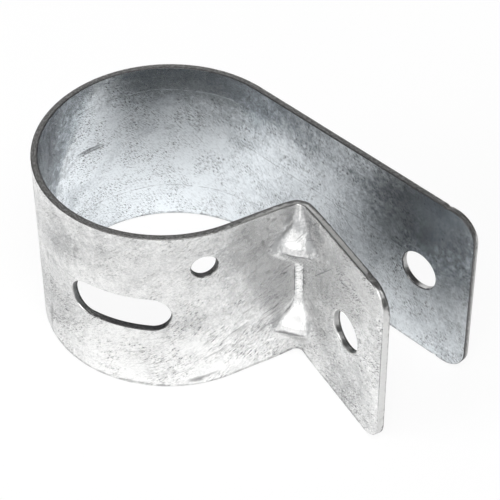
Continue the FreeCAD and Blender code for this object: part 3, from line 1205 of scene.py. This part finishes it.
def outside_look(sizes, finish):
    """Clouds, polished and matt places, scuffs, grime and long lines of the outer face, with painted shade
    and highlights round the bend and darts and a painted shadow along the lower edge.
    """
    at = FlatPlaces(sizes)
    return {
        "clean": finish.clean,
        "clouded": finish.clouded,
        "grit": finish.grit,
        "soot_and_shade": finish.soot_and_shade,
        "roughness": finish.roughness,
        "cloud_scale": 0.085,
        "dullness": -0.20,
        "grit_amount": 0.80,
        "grit_turn": -0.6,
        "clouds": [
            # Ring, wall and flange
            spot(-98.0, 6.0, 24.0, 12.0, -0.30),
            spot(-72.0, 8.0, 14.0, 14.0, 0.24),
            spot(-117.0, 30.0, 13.0, 14.0, 0.28),
            spot(-112.0, 16.0, 12.0, 7.0, 0.08, -0.2),
            spot(-75.0, 31.0, 9.0, 9.0, 0.20),
            spot(-93.0, 33.5, 13.0, 7.0, 0.16),
            spot(-137.0, 30.0, 10.0, 14.0, 0.12),
            spot(-144.0, 9.0, 16.0, 12.0, 0.30),
            spot(-150.0, 26.0, 9.0, 10.0, 0.20),
            spot(-77.8, 29.0, 4.0, 9.0, 0.24, 0.5),
            spot(-66.3, 34.4, 1.4, 3.5, 0.50),
            spot(-105.6, 16.8, 5.0, 4.0, 0.16),
            # Bend and darts: painted shade round and above the darts' facets and on the flange beside them,
            # and painted highlights on the facets, on the coined flat between the darts and on the ridge
            # above the upper dart
            spot(at.bend, at.high_dart + 6.5, 4.5, 3.2, 0.50),
            spot(at.bend, at.between_darts, 0.7, 6.0, -0.40),
            spot(at.bend - 5.8, at.high_dart + 6.3, 3.2, 2.6, 0.30),
            spot(at.bend - 5.8, at.low_dart + 6.8, 3.2, 2.6, 0.30),
            spot(at.bend - 3.4, at.high_dart + 2.7, 1.1, 2.4, 0.55),
            spot(at.bend - 4.5, at.high_dart + 4.0, 3.5, 5.0, 0.25),
            spot(at.bend - 3.5, at.high_dart + 1.5, 1.7, 2.4, 0.60),
            spot(at.bend + 4.2, at.high_dart + 1.6, 2.3, 2.6, 0.60),
            spot(at.bend + 2.8, at.high_dart + 4.2, 1.6, 2.6, 0.40),
            spot(at.bend + 6.2, at.high_dart + 0.2, 2.2, 2.2, 0.50),
            spot(at.bend - 5.2, at.high_dart - 0.4, 1.4, 1.2, 0.40),
            spot(at.bend - 3.7, at.low_dart + 1.6, 1.4, 2.4, 0.45),
            spot(at.bend + 5.0, at.low_dart + 1.4, 1.9, 2.6, 0.40),
            spot(at.bend, at.high_dart + 4.2, 2.6, 1.2, 0.40),
            spot(at.bend + 0.4, at.high_dart + 1.8, 2.4, 1.5, -0.60),
            spot(at.bend + 0.4, at.low_dart + 1.8, 3.2, 2.4, -0.60),
            spot(at.bend, at.high_dart + 7.5, 0.35, 2.6, -0.70),
        ],
        "polished": [
            spot(at.bend, at.high_dart + 2.0, 7.0, 7.0, -0.8),
            spot(at.bend, at.low_dart + 2.0, 7.0, 6.0, -0.8),
            spot(-90.0, 36.0, 50.0, 18.0, -0.35),
        ],
        "matt": [
            spot(at.bend - 6.5, at.high_dart + 5.5, 6.0, 6.0, 0.40),
            spot(at.bend - 6.5, at.low_dart + 6.0, 6.0, 6.0, 0.40),
        ],
        "scuffs": [scuff(-0.3, 7.0, 0.40, 0.24, 0.62), scuff(-0.75, 2.5, 0.25, 0.18, 0.62)],
        "dirt_and_shade": [
            # Ring, wall and flange
            spot(-71.8, 5.5, 1.0, 4.5, 0.50, 0.2),
            spot(-73.0, 23.0, 0.7, 1.6, 0.45),
            spot(-83.0, 31.7, 0.8, 2.2, 0.35, 0.3),
            spot(-106.3, 1.6, 2.2, 0.8, 0.60, -0.12),
            spot(-108.8, 2.2, 2.8, 0.5, 0.45, -0.2),
            spot(-120.0, 31.8, 4.5, 1.8, 0.22, -0.25),
            spot(-120.6, 33.0, 0.7, 1.3, 0.50, -0.3),
            spot(-116.5, 37.8, 1.0, 0.7, 0.45, -0.6),
            spot(-115.8, 35.9, 3.0, 0.9, 0.25, -0.25),
            spot(-115.6, 12.0, 3.0, 0.9, 0.30, -0.3),
            spot(-125.4, 22.8, 1.4, 0.2, 0.60, 0.17),
            spot(-132.8, 28.0, 3.0, 0.16, 0.50, 0.64),
            spot(-137.6, 28.0, 7.2, 0.18, 0.60, -0.85),
            # Bend and darts: painted shade, with some grime, in the bend's two grooves and under each
            # dart's crest, and a dark dot at the upper dart's point
            *groove_marks(at),
            spot(at.bend + at.groove, at.high_dart + 5.0, 0.6, 0.35, 0.80),
            spot(at.bend - 0.4, at.high_dart - 1.1, 4.4, 0.60, 0.75),
            spot(at.bend + 1.0, at.low_dart - 0.8, 5.0, 0.70, 0.80),
            # End of the flange
            spot(at.flange_end + 0.3, at.middle, 0.25, 15.0, 0.60),
            spot(at.flange_nick, at.top - 0.3, 0.5, 0.5, 0.80),
        ],
        "lines": [
            thin_line(23.6, 0.12, -83.5, -75.5, finish.soot_and_shade, 0.6),
            # Painted shadow along the lower edge where the strip meets the floor
            thin_line(0.5, 0.5, -158.0, -30.0, finish.soot_and_shade, 0.55),
            thin_line(39.7, 0.25, -154.0, -131.0, finish.soot_and_shade, 0.75, waver=0.0),
        ],
    }


def inside_look(finish):
    """Clouds, scuffs, grime and long lines of the inner face, with painted light and shade in place of its
    reflections and a painted shadow along the lower edge.
    """
    return {
        "clean": finish.cool,
        "clouded": finish.cool_clouded,
        "grit": finish.grit,
        "soot_and_shade": finish.soot_and_shade,
        "roughness": finish.cool_roughness,
        "cloud_scale": 0.065,
        "dullness": -0.36,
        "grit_amount": 1.25,
        "grit_turn": -0.7,
        "clouds": [
            # Ring and leg: mostly painted light and shade of the reflections inside, paler low on the ring
            # and darker towards the top edge, over the leg and in a strip at the left, with some of the
            # coat's own clouds
            spot(-20.0, 6.0, 40.0, 10.0, -0.20),
            spot(-16.0, 15.5, 22.0, 8.0, -0.24),
            spot(-4.0, 27.5, 10.0, 5.0, 0.25),
            spot(26.0, 31.0, 12.0, 6.0, 0.20),
            spot(-46.0, 14.0, 6.0, 4.0, 0.20, 0.7),
            spot(45.0, 33.0, 22.0, 14.0, 0.55, 0.3),
            spot(30.0, 20.0, 14.0, 9.0, 0.25, 0.4),
            spot(52.0, 14.0, 14.0, 18.0, 0.30),
            spot(-58.0, 32.0, 15.0, 18.0, 0.80),
            spot(-10.0, 38.5, 36.0, 10.0, 0.50),
            spot(20.0, 36.0, 26.0, 6.0, 0.25),
        ],
        "polished": [],
        "matt": [],
        "scuffs": [scuff(-0.75, 2.2, 0.28, 0.18, 0.55), scuff(-0.1, 14.0, 0.2, 0.04, 0.35)],
        "dirt_and_shade": [
            # Leg and ring: painted shade over the top of the leg's end, along the top edge and in the strip
            # at the left
            spot(48.0, 36.0, 21.0, 13.0, 0.52, 0.1),
            spot(-12.0, 38.5, 32.0, 7.0, 0.30),
            spot(-46.0, 39.0, 16.0, 5.0, 0.35, 0.25),
            spot(-59.0, 31.0, 13.0, 18.0, 0.62),
            spot(-49.5, 33.0, 9.0, 12.0, 0.35),
            # One old scratch
            spot(-39.0, 23.5, 4.2, 0.70, 0.40, -0.08),
            spot(-39.4, 23.9, 4.2, 0.30, 0.62, -0.08),
            spot(-38.6, 23.1, 3.6, 0.30, 0.52, -0.08),
        ],
        "lines": [
            thin_line(34.3, 0.18, -30.0, -6.0, finish.cool, 0.9),
            thin_line(34.3, 0.14, -52.0, -30.0, finish.soot_and_shade, 0.5),
            thin_line(23.4, 0.14, -4.0, 48.0, finish.soot_and_shade, 0.7),
            thin_line(8.2, 0.14, -44.0, 12.0, finish.soot_and_shade, 0.6),
            thin_line(12.0, 0.12, 30.0, 57.0, finish.soot_and_shade, 0.5),
            # Painted shadow along the lower edge where the strip meets the floor
            thin_line(0.3, 0.45, -62.0, 57.0, finish.soot_and_shade, 0.6),
        ],
    }


def strap_materials(sizes, finish):
    """The strip's three materials, for its outer face, its inner face and its sheared edges."""
    groups = {"coat": zinc_coat(), "scuffs": scuffs(), "mark": rub_mark(), "line": long_line()}
    return {
        "Outside": coated_face("zinc_outside", groups, outside_look(sizes, finish)),
        "Inside": coated_face("zinc_inside", groups, inside_look(finish)),
        "Sheared": cut_edge(groups, finish, sizes),
    }


class CLAMP_OT_strap(bpy.types.Operator):
    """Punch the flat strip, bend it into the clamp and give it its zinc coat"""

    bl_idname = "tube_clamp.strap"
    bl_label = "Clamp Strap"

    def execute(self, context):
        sizes = context.scene.clamp_sizes
        finish = context.scene.clamp_finish
        strap = bpy.data.objects.new("galvanised_strap", flat_blank(sizes))
        context.scene.collection.objects.link(strap)
        values = bend_values(sizes)
        materials = strap_materials(sizes, finish)
        modifier = strap.modifiers.new("Bend", "NODES")
        modifier.node_group = bend_strip(values, materials, sizes.dart_heights)
        set_inputs(modifier, {**values, **materials})
        depsgraph = context.evaluated_depsgraph_get()
        bent = bpy.data.meshes.new_from_object(
            strap.evaluated_get(depsgraph), preserve_all_data_layers=True, depsgraph=depsgraph
        )
        strap.modifiers.remove(modifier)
        strap.data = bent
        bent.shade_smooth()
        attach(strap, "root")
        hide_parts("clamp_strap")
        return {"FINISHED"}


def aim(place, target, roll=0.0):
    """Matrix of a camera or lamp at a place, looking at the target."""
    back = (place - target).normalized()
    right = Vector((0, 0, 1)).cross(back).normalized()
    up = back.cross(right)
    side = right * math.cos(roll) - up * math.sin(roll)
    top = right * math.sin(roll) + up * math.cos(roll)
    turned = Matrix((side, top, back)).transposed()
    return Matrix.Translation(place) @ turned.to_4x4()


def add_camera(scene):
    """The studio's camera."""
    data = bpy.data.cameras.new("camera")
    data.lens = CAMERA_LENS
    data.clip_start = CAMERA_CLIP_START
    camera = bpy.data.objects.new("camera", data)
    camera.matrix_world = aim(CAMERA_PLACE, CAMERA_TARGET, CAMERA_ROLL)
    scene.collection.objects.link(camera)
    scene.camera = camera


def whiteness(desk, stage):
    """How much of the floor's shadow is lifted to white: most for the camera, little in reflections."""
    path = desk.add("ShaderNodeLightPath").outputs
    mirrored = desk.math("MAXIMUM", path["Is Glossy Ray"], path["Is Transmission Ray"])
    in_mirror = desk.math("MULTIPLY", mirrored, 1 - stage.mirrored_shadow)
    return desk.math("MULTIPLY_ADD", path["Is Camera Ray"], 1 - stage.shadow, in_mirror)


def floor_material(stage):
    """Pale matt floor, with its shadow lifted towards white."""
    material = bpy.data.materials.new("floor")
    material.use_nodes = True
    material.node_tree.nodes.clear()
    desk = NodeDesk(material.node_tree)
    lit = desk.add("ShaderNodeBsdfDiffuse", {"Color": (*stage.floor, 1)})
    white = desk.add("ShaderNodeEmission", {"Color": WHITE, "Strength": 1.0})
    amount = whiteness(desk, stage)
    mixed = desk.add("ShaderNodeMixShader", {0: amount, 1: lit.outputs[0], 2: white.outputs[0]})
    desk.add("ShaderNodeOutputMaterial", {"Surface": mixed.outputs[0]})
    return material


def add_floor(scene, stage):
    """A plain square floor under the object."""
    mesh = bpy.data.meshes.new("floor")
    sides = ((-1, -1), (1, -1), (1, 1), (-1, 1))
    mesh.from_pydata([(x * FLOOR_HALF, y * FLOOR_HALF, 0) for x, y in sides], [], [(0, 1, 2, 3)])
    mesh.materials.append(floor_material(stage))
    floor = bpy.data.objects.new("floor", mesh)
    scene.collection.objects.link(floor)
    floor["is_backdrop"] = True


def add_lamp(scene, lamp, power):
    """Hangs one of the lamps, turned towards the object."""
    heading = math.radians(lamp.heading)
    height = math.radians(lamp.height)
    level = math.cos(height) * LAMP_DISTANCE
    place = Vector((math.cos(heading) * level, math.sin(heading) * level, math.sin(height) * LAMP_DISTANCE))
    data = bpy.data.lights.new(lamp.name, "AREA")
    data.shape = "DISK"
    data.size = LAMP_SIZE
    data.energy = power
    hung = bpy.data.objects.new(lamp.name, data)
    hung.matrix_world = aim(place, LAMP_TARGET)
    hung.visible_glossy = lamp.mirrored
    scene.collection.objects.link(hung)


def set_surround(scene, stage):
    """Light of the room: bright in front, dim behind, and plain white to the camera."""
    world = bpy.data.worlds.new("surround")
    world.use_nodes = True
    world.node_tree.nodes.clear()
    scene.world = world
    desk = NodeDesk(world.node_tree)
    towards = desk.add("ShaderNodeTexCoord").outputs["Generated"]
    front = (math.cos(ROOM_FRONT), math.sin(ROOM_FRONT), 0)
    ahead = desk.vector("DOT_PRODUCT", towards, front, result="Value")
    lit = desk.between(ahead, ROOM_LIGHT_FROM, ROOM_LIGHT_FULL)
    level = desk.math("MULTIPLY_ADD", lit, stage.front - stage.behind, stage.behind)
    room = desk.add("ShaderNodeBackground", {"Color": WHITE, "Strength": level})
    white = desk.add("ShaderNodeBackground", {"Color": WHITE, "Strength": 1.0})
    camera = desk.add("ShaderNodeLightPath").outputs["Is Camera Ray"]
    mixed = desk.add("ShaderNodeMixShader", {0: camera, 1: room.outputs[0], 2: white.outputs[0]})
    desk.add("ShaderNodeOutputWorld", {"Surface": mixed.outputs[0]})


class CLAMP_OT_stage(bpy.types.Operator):
    """Lay the floor and set the camera and the lamps"""

    bl_idname = "tube_clamp.stage"
    bl_label = "Studio Stage"

    def execute(self, context):
        scene = context.scene
        stage = scene.clamp_stage
        scene.view_settings.view_transform = "Standard"
        add_floor(scene, stage)
        add_camera(scene)
        for lamp, power in zip(LAMPS, (stage.window, stage.key, stage.back)):
            add_lamp(scene, lamp, power)
        set_surround(scene, stage)
        return {"FINISHED"}


class CLAMP_PT_panel(bpy.types.Panel):
    """Sizes, finish and stage of the tube clamp"""

    bl_idname = "CLAMP_PT_panel"
    bl_label = "Tube Clamp"
    bl_space_type = "VIEW_3D"
    bl_region_type = "UI"
    bl_category = "Tube Clamp"

    def draw(self, context):
        for operator, group in (
            (CLAMP_OT_strap, context.scene.clamp_sizes),
            (CLAMP_OT_strap, context.scene.clamp_finish),
            (CLAMP_OT_stage, context.scene.clamp_stage),
        ):
            box = self.layout.box()
            for name in group.__annotations__:
                box.prop(group, name)
            box.operator(operator.bl_idname)


GROUPS = {"clamp_sizes": StrapSizes, "clamp_finish": ZincFinish, "clamp_stage": StudioStage}
CLASSES = (*GROUPS.values(), CLAMP_OT_strap, CLAMP_OT_stage, CLAMP_PT_panel)


def register():
    """Registers the classes and hangs the property groups on the scene."""
    for item in CLASSES:
        bpy.utils.register_class(item)
    for name, group in GROUPS.items():
        setattr(bpy.types.Scene, name, bpy.props.PointerProperty(type=group))


def unregister():
    """Takes off what register put in place."""
    for name in GROUPS:
        delattr(bpy.types.Scene, name)
    for item in reversed(CLASSES):
        bpy.utils.unregister_class(item)


def main():
    """Makes the clamp and its stage."""
    register()
    bpy.ops.tube_clamp.strap()
    bpy.ops.tube_clamp.stage()
    boxes = {"cad": CAD_BOX, "visual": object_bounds()}
    {name: [list(corner) for corner in box] for name, box in boxes.items()}


if __name__ == "__main__":
    main()
